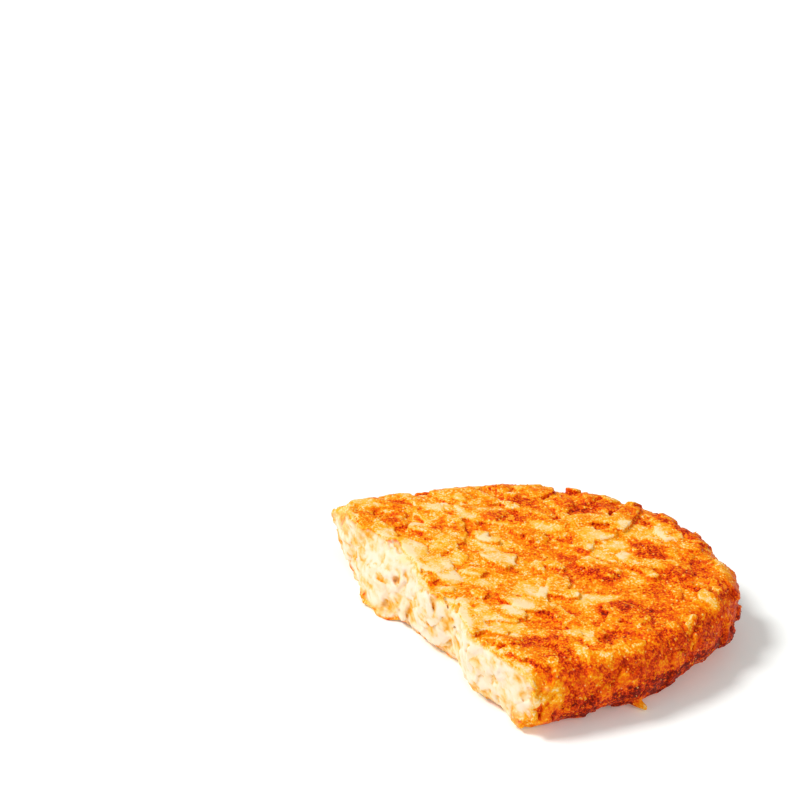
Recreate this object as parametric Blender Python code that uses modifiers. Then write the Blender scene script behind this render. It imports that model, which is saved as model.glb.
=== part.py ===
"""Half of an oval hash brown patty, broken across its middle.

The patty is a pressed oval slab of potato shreds. Its outside is a rounded slab
with a few hundred flat shreds laid into it, and its broken end is a wavy, nearly
upright face of mash with snapped shreds and small hollows. The half lies flat.

Frame: +Z up, +X from the broken end to the round end, origin under the middle of
the solid's box, on the surface that it lies on.
"""
import bpy
import bmesh
import numpy as np
from mathutils.bvhtree import BVHTree

MM = 0.001

# ---- Sizes of the hash brown, in millimetres -------------------------------
HALF_LENGTH = 52.6        # middle of the whole oval patty to its far end
HALF_WIDTH = 32.0         # half the patty's width
OVALNESS = 2.31           # exponent of the oval outline: 2 is an ellipse
THICKNESS = 12.5
RIM_TOP, RIM_UNDER = 5.6, 7.0   # how far in from the outline the rim begins to turn
RIM_SHAPE = 2.25          # exponent of the rim's section: 2 is a half ellipse
BREAK_TURN = 0.300        # the break runs this many radians off square to the length
CORE_INSET = 0.55         # the mash between the shreds lies this far in
SHRED_BLEND = 0.28        # how softly a shred runs into its neighbours
SHRED_SLANT = -0.95       # the shreds lie about this way, in radians from +X
# Waves of the outline: share of the radius, waves per turn, phase
OUTLINE_WAVES = ((0.007, 1, 0.1), (0.012, 4, 1.72), (0.009, 7, 0.6), (0.007, 11, 2.1))
# Waves of the break's upper and lower edge: height, length, phase
BREAK_TOP_WAVES = ((1.05, 51.0, 0.2), (0.95, 21.0, -1.55), (0.55, 13.0, -0.45))
BREAK_BOTTOM_WAVES = ((1.4, 51.0, -2.8), (1.4, 33.0, 1.75), (0.5, 15.0, -0.95))
BREAK_BULGE = 0.7         # the middle of the break stands out this far
BREAK_PROUD = 0.80        # how far a torn shred may stand out of the break
FOOT = (-29.8, 2.2, 0.9)  # a foot of crust at the near end of the break: place, half width, how far it stands out
CORNER_CUT = 1.7          # the far end of the break's upper edge is worn back this far
TOP_SHREDS, RIM_SHREDS, UNDER_SHREDS, BREAK_SHREDS, HOLLOWS = 340, 250, 230, 200, 0
# Spurs on the rim: their two ends and the radius at each
SPURS = (((28.4, -25.0, 1.7), (30.4, -27.7, 0.9), 1.35, 0.55), ((12.6, -27.4, 2.0), (10.6, -28.8, 0.8), 1.7, 0.7))
# Hollows in the rim's lower edge: middle and half sizes
GOUGES = ((40.3, -21.6, 0.0, 5.0, 3.6, 3.0), (34.0, -26.9, 0.5, 2.2, 1.9, 1.7))
# Hollows of the break: place along it, height, half length and half height
TORN_HOLLOWS = ((22.1, 6.3, 1.7, 1.2), (9.2, 7.5, 0.9, 0.8), (3.0, 7.7, 2.4, 1.6), (9.6, 2.4, 1.5, 0.9),
                (29.0, 4.0, 1.4, 0.8))

BREAK_N = np.array([np.cos(BREAK_TURN), np.sin(BREAK_TURN)])    # into the half
BREAK_M = np.array([-np.sin(BREAK_TURN), np.cos(BREAK_TURN)])   # along the break


def noise(x, y, z, seed=0):
    """Smooth gradient noise, about -1 to 1, one cell to a unit."""
    x0, y0, z0 = np.floor(x), np.floor(y), np.floor(z)
    fx, fy, fz = x - x0, y - y0, z - z0
    ix, iy, iz = (a.astype(np.int32).astype(np.uint32) for a in (x0, y0, z0))
    ux, uy, uz = (f * f * f * (f * (f * 6 - 15) + 10) for f in (fx, fy, fz))
    salt = np.uint32((seed * 668265263 + 374761393) % 4294967296)
    total = np.zeros_like(fx)
    for dx in (0, 1):
        hx = (ix + np.uint32(dx)) * np.uint32(2654435761)
        wx = ux if dx else 1 - ux
        for dy in (0, 1):
            hy = hx ^ ((iy + np.uint32(dy)) * np.uint32(2246822519))
            wxy = wx * (uy if dy else 1 - uy)
            for dz in (0, 1):
                h = hy ^ ((iz + np.uint32(dz)) * np.uint32(3266489917)) ^ salt
                h = (h ^ (h >> np.uint32(15))) * np.uint32(739982445)
                h = (h ^ (h >> np.uint32(12))) * np.uint32(695872825)
                h = h ^ (h >> np.uint32(15))
                g = [((h >> np.uint32(s)) & np.uint32(255)).astype(fx.dtype) / 127.5 - 1 for s in (0, 8, 16)]
                dot = g[0] * (fx - dx) + g[1] * (fy - dy) + g[2] * (fz - dz)
                total += dot * wxy * (uz if dz else 1 - uz)
    return total


def waves(at, rows):
    return sum(a * np.sin(2 * np.pi * at / length + phase) for a, length, phase in rows)


def smooth_min(a, b, k):
    h = np.maximum(k - np.abs(a - b), 0) / k
    return np.minimum(a, b) - h * h * k * 0.25


def outline_radius(angle):
    """Radius of the oval outline in each direction."""
    c, s = np.abs(np.cos(angle)) / HALF_LENGTH, np.abs(np.sin(angle)) / HALF_WIDTH
    r = (c ** OVALNESS + s ** OVALNESS) ** (-1 / OVALNESS)
    for share, turns, phase in OUTLINE_WAVES:
        r = r * (1 + share * np.cos(turns * angle + phase))
    return r


def slab(x, y, z):
    """How far a point is outside (+) or inside (-) the pressed oval patty, before its shreds are added."""
    angle, r = np.arctan2(y, x), np.hypot(x, y)
    edge = outline_radius(angle)
    slope = (outline_radius(angle + 0.02) - outline_radius(angle - 0.02)) / 0.04
    side = (r - edge) / np.sqrt(1 + (slope / edge) ** 2)
    half = THICKNESS / 2
    swell = 0.45 * noise(x / 17, y / 17, z * 0 + 3.3, 5) + 0.30 * noise(x / 7.5, y / 7.5, z / 11, 6)
    turn_in = np.where(z > half, RIM_TOP, RIM_UNDER).astype(x.dtype)
    q = np.maximum((side + turn_in) / turn_in, 0) + 1e-6
    w = np.abs(z - half) / half + 1e-6
    g = (q ** RIM_SHAPE + w ** RIM_SHAPE) ** (1 / RIM_SHAPE)
    steep = np.sqrt(((q / g) ** (RIM_SHAPE - 1) / turn_in) ** 2 + ((w / g) ** (RIM_SHAPE - 1) / half) ** 2)
    return (g - 1) / np.maximum(steep, 0.1) - swell


def surface_point(angle, share, side):
    """A point of the smooth patty and the way out there. share 0 is the middle of the top, 1 the outline; side is 1 on top and -1 below, and share over 1 goes down the rim."""
    edge = outline_radius(angle)
    slope = (outline_radius(angle + 0.02) - outline_radius(angle - 0.02)) / 0.04
    out = np.array([np.cos(angle), np.sin(angle)]) - np.array([-np.sin(angle), np.cos(angle)]) * slope / edge
    out = out / np.hypot(*out)
    half, turn_in = THICKNESS / 2, RIM_TOP if side > 0 else RIM_UNDER
    if share <= 1:
        r = share * (edge - turn_in)
        return np.array([r * np.cos(angle), r * np.sin(angle), half + side * half]), np.array([0, 0, side])
    t = (share - 1) * np.pi / 2 * side           # 0 at the widest line, pi/2 on the flat
    c, s = np.cos(t), np.sin(t)
    base = (edge - turn_in) * np.array([np.cos(angle), np.sin(angle)])
    return (np.array([base[0] + out[0] * turn_in * c, base[1] + out[1] * turn_in * c, half + half * s]),
            np.array([out[0] * c, out[1] * c, s]))


def skin_shreds():
    """The potato shreds pressed into the outside: centre, long way, cross way, half length, half width, lift, tilts and tone."""
    rng = np.random.default_rng(41)
    made = []
    for kind, count in (("top", TOP_SHREDS), ("under", UNDER_SHREDS), ("rim", RIM_SHREDS)):
        for i in range(count):
            angle = rng.uniform(-np.pi, np.pi)
            if kind == "rim":
                up = rng.uniform(-0.95, 0.95)
                at, out = surface_point(angle, 1 + abs(up), 1 if up >= 0 else -1)
                along = np.array([-out[1], out[0], 0.0])
                along /= np.linalg.norm(along)
                turn = rng.normal(0.0, 0.55) + (np.pi / 2 if rng.random() < 0.55 else 0)
                size = rng.uniform(1.4, 3.4), rng.uniform(0.8, 1.6)
                lift = rng.normal(0.06, 0.11 if up > 0 else 0.18)
            else:
                side = 1 if kind == "top" else -1
                # even over the oval, not crowded in the middle
                share = np.sqrt(rng.random()) * 1.08
                at, out = surface_point(angle, min(share, 1.0), side)
                if share > 1:
                    at[:2] *= share
                along = np.array([1.0, 0.0, 0.0])
                turn = rng.normal(SHRED_SLANT, 0.6)
                big = rng.random() < 0.42
                size = (rng.uniform(2.6, 5.2), rng.uniform(1.3, 2.5)) if big else (rng.uniform(1.1, 2.6), rng.uniform(0.7, 1.4))
                lift = rng.normal(0.04, 0.13) if big else rng.normal(0.08, 0.12)
            across = np.cross(out, along)
            u = along * np.cos(turn) + across * np.sin(turn)
            v = np.cross(out, u)
            row = (at, u, v, size[0], size[1], lift, rng.normal(0, 0.035), rng.normal(0, 0.08), rng.random(), rng.uniform(-0.05, 0.05))
            # only what lies on the kept half, or near its break
            if at[:2] @ BREAK_N > -7:
                made.append(row)
    return made


def lay_shreds(shreds, x, y, z, depth, value, pick):
    """Adds each shred to value, the distance to the outside. It also gives the distance to the nearest shred and that one's tone. pick gives the points in a box."""
    best = np.full(value.shape, 3.0, value.dtype)
    tone = np.full(value.shape, 0.5, value.dtype)
    for at, u, v, length, width, lift, tilt_u, tilt_v, shade, bend in shreds:
        near = pick(at, np.abs(u) * length + np.abs(v) * width + np.abs(np.cross(u, v)) * 2.0 + 1.3)
        px, py, pz = x[near] - at[0], y[near] - at[1], z[near] - at[2]
        a = px * u[0] + py * u[1] + pz * u[2]
        b = px * v[0] + py * v[1] + pz * v[2] + bend * a * a
        h = depth[near] - (lift + tilt_u * a + tilt_v * b)
        taper = 1 - 0.25 * (a / length) ** 2
        qa, qb, qh = np.abs(a) - length + 0.3, np.abs(b) - width * taper + 0.3, np.abs(h + 1.1) - 1.1 + 0.3
        d = np.sqrt(np.maximum(qa, 0) ** 2 + np.maximum(qb, 0) ** 2 + np.maximum(qh, 0) ** 2)
        d = d + np.minimum(np.maximum(np.maximum(qa, qb), qh), 0) - 0.3
        value[near] = smooth_min(value[near], d, SHRED_BLEND)
        won = d < best[near]
        part = best[near]
        part[won] = d[won]
        best[near] = part
        part = tone[near]
        part[won] = shade
        tone[near] = part
    return value, tone, best


def bent(x, y, z):
    """Points shifted by a gentle wander, so that no shred is straight."""
    out = []
    for i, p in enumerate((x, y, z)):
        out.append(p + 0.9 * noise(x / 5.5, y / 5.5, z / 5.5, 11 + i) + 0.28 * noise(x / 1.7, y / 1.7, z / 1.7, 21 + i))
    return out


def outside(x, y, z, pick):
    """Distance to the whole patty's outside with its shreds, then the tone of the nearest shred, the distance to it, and the distance to the smooth patty."""
    depth = slab(x, y, z)
    bx, by, bz = bent(x, y, z)
    value, tone, best = lay_shreds(skin_shreds(), bx, by, bz, depth, depth + CORE_INSET, pick)
    for start, tip, wide, narrow in SPURS:
        start, tip = np.array(start), np.array(tip)
        near = pick((start + tip) / 2, np.full(3, 4.5))
        px, py, pz = bx[near] - start[0], by[near] - start[1], bz[near] - start[2]
        way = tip - start
        t = np.clip((px * way[0] + py * way[1] + pz * way[2]) / (way @ way), 0, 1)
        d = np.sqrt((px - t * way[0]) ** 2 + (py - t * way[1]) ** 2 + (pz - t * way[2]) ** 2) - wide + t * (wide - narrow)
        value[near] = smooth_min(value[near], d, 0.5)
    for gx, gy, gz, rx, ry, rz in GOUGES:
        near = pick(np.array([gx, gy, gz]), np.array([rx, ry, rz]) + 1.5)
        k = np.sqrt(((bx[near] - gx) / rx) ** 2 + ((by[near] - gy) / ry) ** 2 + ((bz[near] - gz) / rz) ** 2)
        value[near] = -smooth_min(-value[near], (k - 1) * min(rx, ry, rz), 0.8)
    return value, tone, best, depth


def break_at(m, z):
    """Where the break lies, along BREAK_N, at m along it and at height z."""
    h = np.clip(z / THICKNESS, 0, 1)
    edge = (1 - h) * waves(m, BREAK_BOTTOM_WAVES) + h * waves(m, BREAK_TOP_WAVES)
    foot = FOOT[2] * np.exp(-((m - FOOT[0]) / FOOT[1]) ** 2) * np.clip((4.2 - z) / 3.0, 0, 1)
    cut = CORNER_CUT * np.clip((m - 25.0) / 3.0, 0, 1) * np.clip((z - 8.5) / 3.5, 0, 1)
    return edge - BREAK_BULGE * (1 - (2 * h - 1) ** 2) - foot + cut


def swells(x, y, z):
    """How far the torn mash lies back (+) or swells out (-)."""
    return 0.95 * noise(x / 6.5, y / 6.5, z / 5.5, 30) + 0.12 * noise(x / 3.0, y / 3.0, z / 2.6, 31)


def broken(x, y, z, pick):
    """Distance to the torn inside: mash, shreds that stick out of it and hollows. It also gives how deep in a hollow a point is, and the shreds' tone."""
    n, m = x * BREAK_N[0] + y * BREAK_N[1], x * BREAK_M[0] + y * BREAK_M[1]
    bx, by, bz = (0.5 * (p + q) for p, q in zip((x, y, z), bent(x, y, z)))
    face = break_at(m, z) - n
    value = face - 0.06 + swells(x, y, z) - 0.5 * np.exp(-((m + 29.0) / 2.6) ** 2)
    tone = np.full(x.shape, 0.5, x.dtype)
    best = np.full(x.shape, 9.0, x.dtype)
    rng = np.random.default_rng(77)
    for i in range(BREAK_SHREDS):
        along, high = rng.uniform(-34, 35), rng.uniform(0.3, THICKNESS - 0.3)
        behind = rng.uniform(-0.3, 0.35)
        base = float(break_at(np.array(along), np.array(high)))
        middle = BREAK_M * along + BREAK_N * base
        behind += float(swells(*np.array([[middle[0]], [middle[1]], [high]]))[0])
        out = rng.uniform(0.30, 0.60)                    # half the plate's thickness
        turn, yaw, pitch = rng.normal(0.5, 0.7), rng.normal(0, 0.20), rng.normal(0.04, 0.20)
        # w is the way that the plate faces, u its long way
        w = np.array([-BREAK_N[0], -BREAK_N[1], 0]) + yaw * np.array([BREAK_M[0], BREAK_M[1], 0]) + np.array([0, 0, pitch])
        w /= np.linalg.norm(w)
        u = np.array([BREAK_M[0] * np.cos(turn), BREAK_M[1] * np.cos(turn), -np.sin(turn)])
        u -= w * (u @ w)
        u /= np.linalg.norm(u)
        v = np.cross(w, u)
        flat = BREAK_M * along + BREAK_N * (base + behind)
        at = np.array([flat[0], flat[1], high]) - w * out
        size = rng.uniform(2.0, 4.8), rng.uniform(1.3, 3.1), out
        near = pick(at, np.abs(u) * size[0] + np.abs(v) * size[1] + np.abs(w) * size[2] + 1.3)
        px, py, pz = bx[near] - at[0], by[near] - at[1], bz[near] - at[2]
        q = [np.abs(px * e[0] + py * e[1] + pz * e[2]) - s + 0.25 for e, s in zip((u, v, w), size)]
        d = np.sqrt(sum(np.maximum(k, 0) ** 2 for k in q)) + np.minimum(np.maximum(np.maximum(q[0], q[1]), q[2]), 0) - 0.25
        value[near] = smooth_min(value[near], d, 0.18)
        won = d < best[near]
        shade = rng.random()
        part = best[near]
        part[won] = d[won]
        best[near] = part
        part = tone[near]
        part[won] = shade
        tone[near] = part
    # no shred sticks out far: it has snapped off there
    limit = face - BREAK_PROUD - 0.5 * noise(x / 2.6, y / 2.6, z / 2.6, 33)
    value = -smooth_min(-value, -limit, 0.5)
    pit = np.zeros(x.shape, x.dtype)
    rows = [(*row, rng.uniform(0.40, 0.55)) for row in TORN_HOLLOWS]
    rows += [(rng.uniform(-31, 32), rng.uniform(2.2, THICKNESS - 2.2), rng.uniform(0.9, 2.4), rng.uniform(0.6, 1.2), rng.uniform(0.4, 0.6)) for i in range(HOLLOWS)]
    for along, high, long_way, tall, deep in rows:
        base = float(break_at(np.array(along), np.array(high)))
        flat = BREAK_M * along + BREAK_N * (base - 0.2)
        reach = long_way, deep, tall
        near = pick(np.array([flat[0], flat[1], high]), np.full(3, max(reach) + 1.5))
        dx, dy, dz = bx[near] - flat[0], by[near] - flat[1], bz[near] - high
        dn, dm = dx * BREAK_N[0] + dy * BREAK_N[1], dx * BREAK_M[0] + dy * BREAK_M[1]
        k = (np.abs(dm / reach[0]) ** 3 + np.abs(dn / reach[1]) ** 3 + np.abs(dz / reach[2]) ** 3) ** (1 / 3)
        d = (k - 1) * min(reach)
        value[near] = -smooth_min(-value[near], d, 0.35)
        pit[near] = np.maximum(pit[near], np.clip(-d + 0.35, 0, 1.2))
    # the crust's own edge is thin and lies proud of the mash, above and below
    lip = face - 0.25 - 2.0 * noise(m / 4.4, z / 9, m * 0 + 0.5, 35) - 0.9 * noise(m / 1.7, z / 5, m * 0, 36)
    upper = THICKNESS - 1.5 + 1.1 * noise(m / 3.2, m * 0 + 4.5, m * 0, 37)
    share = np.clip((1.5 - z) / 0.8, 0, 1) + 0.75 * np.clip((z - upper) / 0.8, 0, 1)
    value = value * (1 - share) + np.minimum(lip, value + 0.4) * share
    return value, tone, face, pit


# ---- The solid ---------------------------------------------------------------
CENTRE_X, CENTRE_Y = 22.05, 0.517   # middle of the half's box, from the whole patty's middle
MESH_STEP = 1.70                   # size of the solid's facets
REACH_OUT, REACH_IN = 1.4, 1.6     # how far a facet's corner may move to the shredded surface
FLAT_UNDER = 0.30                  # underside lower than this is pressed flat on the pan


def collection(name):
    made = bpy.data.collections.new(name)
    bpy.context.scene.collection.children.link(made)
    return made


def own(obj, where):
    for other in list(obj.users_collection):
        other.objects.unlink(obj)
    where.objects.link(obj)
    return obj


def rim_profile():
    """The section from the middle of the top, round the rim, to the middle of the underside."""
    half = THICKNESS / 2
    points = [(share * (HALF_WIDTH - RIM_TOP), THICKNESS) for share in np.linspace(0, 1, 13)]
    for side, turn_in in ((1, RIM_TOP), (-1, RIM_UNDER)):
        arc = []
        for a in np.linspace(0, np.pi / 2, 7)[1:]:
            q, w = np.sin(a) ** (2 / RIM_SHAPE), np.cos(a) ** (2 / RIM_SHAPE)
            arc.append((HALF_WIDTH - turn_in * (1 - q), half + side * half * w))
        points += arc if side > 0 else arc[::-1][1:]
    points += [(share * (HALF_WIDTH - RIM_UNDER), 0.0) for share in np.linspace(1, 0, 13)]
    return points


def turned_patty(where):
    """A turned round patty, stretched to the oval outline."""
    mesh = bpy.data.meshes.new("patty_blank")
    bm = bmesh.new()
    corners = [bm.verts.new((r * MM, 0, z * MM)) for r, z in rim_profile()]
    for a, b in zip(corners, corners[1:]):
        bm.edges.new((a, b))
    bm.to_mesh(mesh)
    bm.free()
    blank = own(bpy.data.objects.new("patty_blank", mesh), where)
    screw = blank.modifiers.new("Turn", "SCREW")
    screw.steps = screw.render_steps = 96
    screw.use_merge_vertices = True
    screw.merge_threshold = 0.00002
    bpy.context.view_layer.update()
    turned = bpy.data.meshes.new_from_object(blank.evaluated_get(bpy.context.evaluated_depsgraph_get()))
    blank.modifiers.clear()
    blank.data = turned
    for corner in turned.vertices:
        x, y, z = corner.co / MM
        angle, r = np.arctan2(y, x), np.hypot(x, y)
        edge, turn_in = float(outline_radius(angle)), RIM_TOP if z > THICKNESS / 2 else RIM_UNDER
        inset = HALF_WIDTH - r
        wide = edge - inset if inset < turn_in else r * (edge - turn_in) / (HALF_WIDTH - turn_in)
        corner.co = (wide * np.cos(angle) * MM, wide * np.sin(angle) * MM, z * MM)
    return blank


def break_cutter(where):
    """A box over the missing half. Its inner side follows the wavy break."""
    bpy.ops.mesh.primitive_cube_add(size=1, location=(0, 0, 0))
    cutter = own(bpy.context.active_object, where)
    cutter.name = "break_cutter"
    bm = bmesh.new()
    bm.from_mesh(cutter.data)
    for axis, cuts in ((1, 59), (2, 9)):
        edges = [e for e in bm.edges if abs(e.verts[0].co[axis] - e.verts[1].co[axis]) > 0.5]
        bmesh.ops.subdivide_edges(bm, edges=edges, cuts=cuts, use_grid_fill=True)
    for corner in bm.verts:
        m, z = corner.co.y * 90, THICKNESS / 2 + corner.co.z * 20
        n = float(break_at(m, z)) if corner.co.x > 0 else -60.0
        spot = BREAK_N * n + BREAK_M * m
        corner.co = (spot[0] * MM, spot[1] * MM, z * MM)
    bm.to_mesh(cutter.data)
    bm.free()
    cutter.hide_render = True
    cutter.display_type = "WIRE"
    return cutter


def shredded(points, normals, edges):
    """Moves each corner in or out along its normal, to the surface that the shreds make."""
    reach = np.linspace(REACH_OUT, -REACH_IN, 37)
    x, y, z = (points[:, i:i + 1] + normals[:, i:i + 1] * reach for i in range(3))

    def near(at, reach):
        return np.nonzero((np.abs(points - at) < reach + REACH_IN).all(1))[0]

    outer, _, _, _ = outside(x, y, z, near)
    inner, _, _, _ = broken(x, y, z, near)
    value = np.maximum(np.maximum(outer, inner), -z)
    solid = value < 0
    first = np.argmax(solid, axis=1)
    first = np.where(solid.any(axis=1), np.maximum(first, 1), reach.size - 1)
    rows = np.arange(len(points))
    before, after = value[rows, first - 1], value[rows, first]
    share = np.clip(before / np.maximum(before - after, 1e-6), 0, 1)
    move = reach[first - 1] + share * (reach[first] - reach[first - 1])
    for _ in range(3):                          # even out between neighbours
        total, count = np.zeros(len(points)), np.zeros(len(points))
        for a, b in ((0, 1), (1, 0)):
            np.add.at(total, edges[:, a], move[edges[:, b]])
            np.add.at(count, edges[:, a], 1)
        move = 0.6 * move + 0.4 * total / count
    move = move * np.clip(0.15 + points[:, 2] / 3, 0, 1)   # the sole keeps its outline
    moved = points + normals * move[:, None]
    moved[:, 2] = np.where(moved[:, 2] < FLAT_UNDER, 0, moved[:, 2])
    return moved


def untangled(mesh):
    """Splits the facets into triangles and evens out the few that would run through each other."""
    bm = bmesh.new()
    bm.from_mesh(mesh)
    bmesh.ops.triangulate(bm, faces=bm.faces[:])
    for _ in range(12):
        bm.faces.ensure_lookup_table()
        tree = BVHTree.FromBMesh(bm)
        tangled = set()
        for a, b in tree.overlap(tree):
            one, other = bm.faces[a], bm.faces[b]
            if not set(one.verts) & set(other.verts):
                tangled |= set(one.verts) | set(other.verts)
        if not tangled:
            break
        ring = tangled | {e.other_vert(v) for v in tangled for e in v.link_edges}
        ring = sorted(ring, key=lambda v: v.index)
        bmesh.ops.smooth_vert(bm, verts=ring, factor=0.5, use_axis_x=True, use_axis_y=True, use_axis_z=True)
    bm.to_mesh(mesh)
    bm.free()


def hash_brown_half(where, cutters):
    blank = turned_patty(where)
    cut = blank.modifiers.new("Break", "BOOLEAN")
    cut.operation, cut.solver = "DIFFERENCE", "EXACT"
    cut.object = break_cutter(cutters)
    even = blank.modifiers.new("Even facets", "REMESH")
    even.mode, even.voxel_size, even.use_smooth_shade = "VOXEL", MESH_STEP * MM, True
    bpy.context.view_layer.update()
    mesh = bpy.data.meshes.new_from_object(blank.evaluated_get(bpy.context.evaluated_depsgraph_get()))
    mesh.name = "hash_brown_half"
    count = len(mesh.vertices)
    points, normals = np.empty(count * 3, np.float32), np.empty(count * 3, np.float32)
    mesh.vertices.foreach_get("co", points)
    mesh.vertex_normals.foreach_get("vector", normals)
    edges = np.empty(len(mesh.edges) * 2, np.int32)
    mesh.edges.foreach_get("vertices", edges)
    moved = shredded(points.reshape(-1, 3).astype(float) / MM, normals.reshape(-1, 3).astype(float), edges.reshape(-1, 2))
    moved -= (CENTRE_X, CENTRE_Y, 0)
    mesh.vertices.foreach_set("co", (moved * MM).astype(np.float32).ravel())
    mesh.update()
    untangled(mesh)
    bpy.data.objects.remove(blank, do_unlink=True)
    half = own(bpy.data.objects.new("hash_brown_half", mesh), where)
    for face in mesh.polygons:
        face.use_smooth = True
    return half


def fried_potato():
    material = bpy.data.materials.new("fried_potato")
    material.use_nodes = True
    shader = material.node_tree.nodes["Principled BSDF"]
    shader.inputs["Base Color"].default_value = (0.80, 0.36, 0.07, 1)
    shader.inputs["Roughness"].default_value = 0.5
    shader.inputs["Metallic"].default_value = 0.0
    return material


for leftover in list(bpy.data.objects):
    bpy.data.objects.remove(leftover, do_unlink=True)
half = hash_brown_half(collection("hash_brown"), collection("cutters"))
half.data.materials.clear()
half.data.materials.append(fried_potato())
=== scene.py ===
import math
import bpy
import bmesh
import numpy as np
from mathutils import Vector, Matrix


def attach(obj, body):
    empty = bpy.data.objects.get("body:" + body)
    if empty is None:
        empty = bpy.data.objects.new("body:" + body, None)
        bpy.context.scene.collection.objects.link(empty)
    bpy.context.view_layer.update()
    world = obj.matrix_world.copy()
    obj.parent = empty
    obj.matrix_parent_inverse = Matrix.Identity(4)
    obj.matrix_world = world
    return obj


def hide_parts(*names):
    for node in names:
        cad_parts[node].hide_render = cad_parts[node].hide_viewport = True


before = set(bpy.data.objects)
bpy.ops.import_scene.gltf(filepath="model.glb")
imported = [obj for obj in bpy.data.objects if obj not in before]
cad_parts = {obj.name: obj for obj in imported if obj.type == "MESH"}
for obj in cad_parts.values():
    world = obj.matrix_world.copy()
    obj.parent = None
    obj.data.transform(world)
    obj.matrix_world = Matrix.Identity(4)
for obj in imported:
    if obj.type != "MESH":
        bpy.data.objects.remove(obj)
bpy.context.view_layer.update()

MM = 0.001

# ---- Sizes of the hash brown, in millimetres -------------------------------
HALF_LENGTH = 52.6        # middle of the whole oval patty to its far end
HALF_WIDTH = 32.0         # half the patty's width
OVALNESS = 2.31           # exponent of the oval outline: 2 is an ellipse
THICKNESS = 12.5
RIM_TOP, RIM_UNDER = 5.6, 7.0   # how far in from the outline the rim begins to turn
RIM_SHAPE = 2.25          # exponent of the rim's section: 2 is a half ellipse
BREAK_TURN = 0.300        # the break runs this many radians off square to the length
CORE_INSET = 0.55         # the mash between the shreds lies this far in
SHRED_BLEND = 0.28        # how softly a shred runs into its neighbours
SHRED_SLANT = -0.95       # the shreds lie about this way, in radians from +X
# Waves of the outline: share of the radius, waves per turn, phase
OUTLINE_WAVES = ((0.007, 1, 0.1), (0.012, 4, 1.72), (0.009, 7, 0.6), (0.007, 11, 2.1))
# Waves of the break's upper and lower edge: height, length, phase
BREAK_TOP_WAVES = ((1.05, 51.0, 0.2), (0.95, 21.0, -1.55), (0.55, 13.0, -0.45))
BREAK_BOTTOM_WAVES = ((1.4, 51.0, -2.8), (1.4, 33.0, 1.75), (0.5, 15.0, -0.95))
BREAK_BULGE = 0.7         # the middle of the break stands out this far
BREAK_PROUD = 0.80        # how far a torn shred may stand out of the break
FOOT = (-29.8, 2.2, 0.9)  # a foot of crust at the near end of the break: place, half width, how far it stands out
CORNER_CUT = 1.7          # the far end of the break's upper edge is worn back this far
TOP_SHREDS, RIM_SHREDS, UNDER_SHREDS, BREAK_SHREDS, HOLLOWS = 340, 250, 230, 200, 0
# Spurs on the rim: their two ends and the radius at each
SPURS = (((28.4, -25.0, 1.7), (30.4, -27.7, 0.9), 1.35, 0.55), ((12.6, -27.4, 2.0), (10.6, -28.8, 0.8), 1.7, 0.7))
# Hollows in the rim's lower edge: middle and half sizes
GOUGES = ((40.3, -21.6, 0.0, 5.0, 3.6, 3.0), (34.0, -26.9, 0.5, 2.2, 1.9, 1.7))
# Hollows of the break: place along it, height, half length and half height
TORN_HOLLOWS = ((22.1, 6.3, 1.7, 1.2), (9.2, 7.5, 0.9, 0.8), (3.0, 7.7, 2.4, 1.6), (9.6, 2.4, 1.5, 0.9),
                (29.0, 4.0, 1.4, 0.8))

BREAK_N = np.array([np.cos(BREAK_TURN), np.sin(BREAK_TURN)])    # into the half
BREAK_M = np.array([-np.sin(BREAK_TURN), np.cos(BREAK_TURN)])   # along the break


def noise(x, y, z, seed=0):
    """Smooth gradient noise, about -1 to 1, one cell to a unit."""
    x0, y0, z0 = np.floor(x), np.floor(y), np.floor(z)
    fx, fy, fz = x - x0, y - y0, z - z0
    ix, iy, iz = (a.astype(np.int32).astype(np.uint32) for a in (x0, y0, z0))
    ux, uy, uz = (f * f * f * (f * (f * 6 - 15) + 10) for f in (fx, fy, fz))
    salt = np.uint32((seed * 668265263 + 374761393) % 4294967296)
    total = np.zeros_like(fx)
    for dx in (0, 1):
        hx = (ix + np.uint32(dx)) * np.uint32(2654435761)
        wx = ux if dx else 1 - ux
        for dy in (0, 1):
            hy = hx ^ ((iy + np.uint32(dy)) * np.uint32(2246822519))
            wxy = wx * (uy if dy else 1 - uy)
            for dz in (0, 1):
                h = hy ^ ((iz + np.uint32(dz)) * np.uint32(3266489917)) ^ salt
                h = (h ^ (h >> np.uint32(15))) * np.uint32(739982445)
                h = (h ^ (h >> np.uint32(12))) * np.uint32(695872825)
                h = h ^ (h >> np.uint32(15))
                g = [((h >> np.uint32(s)) & np.uint32(255)).astype(fx.dtype) / 127.5 - 1 for s in (0, 8, 16)]
                dot = g[0] * (fx - dx) + g[1] * (fy - dy) + g[2] * (fz - dz)
                total += dot * wxy * (uz if dz else 1 - uz)
    return total


def waves(at, rows):
    return sum(a * np.sin(2 * np.pi * at / length + phase) for a, length, phase in rows)


def smooth_min(a, b, k):
    h = np.maximum(k - np.abs(a - b), 0) / k
    return np.minimum(a, b) - h * h * k * 0.25


def outline_radius(angle):
    """Radius of the oval outline in each direction."""
    c, s = np.abs(np.cos(angle)) / HALF_LENGTH, np.abs(np.sin(angle)) / HALF_WIDTH
    r = (c ** OVALNESS + s ** OVALNESS) ** (-1 / OVALNESS)
    for share, turns, phase in OUTLINE_WAVES:
        r = r * (1 + share * np.cos(turns * angle + phase))
    return r


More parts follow.
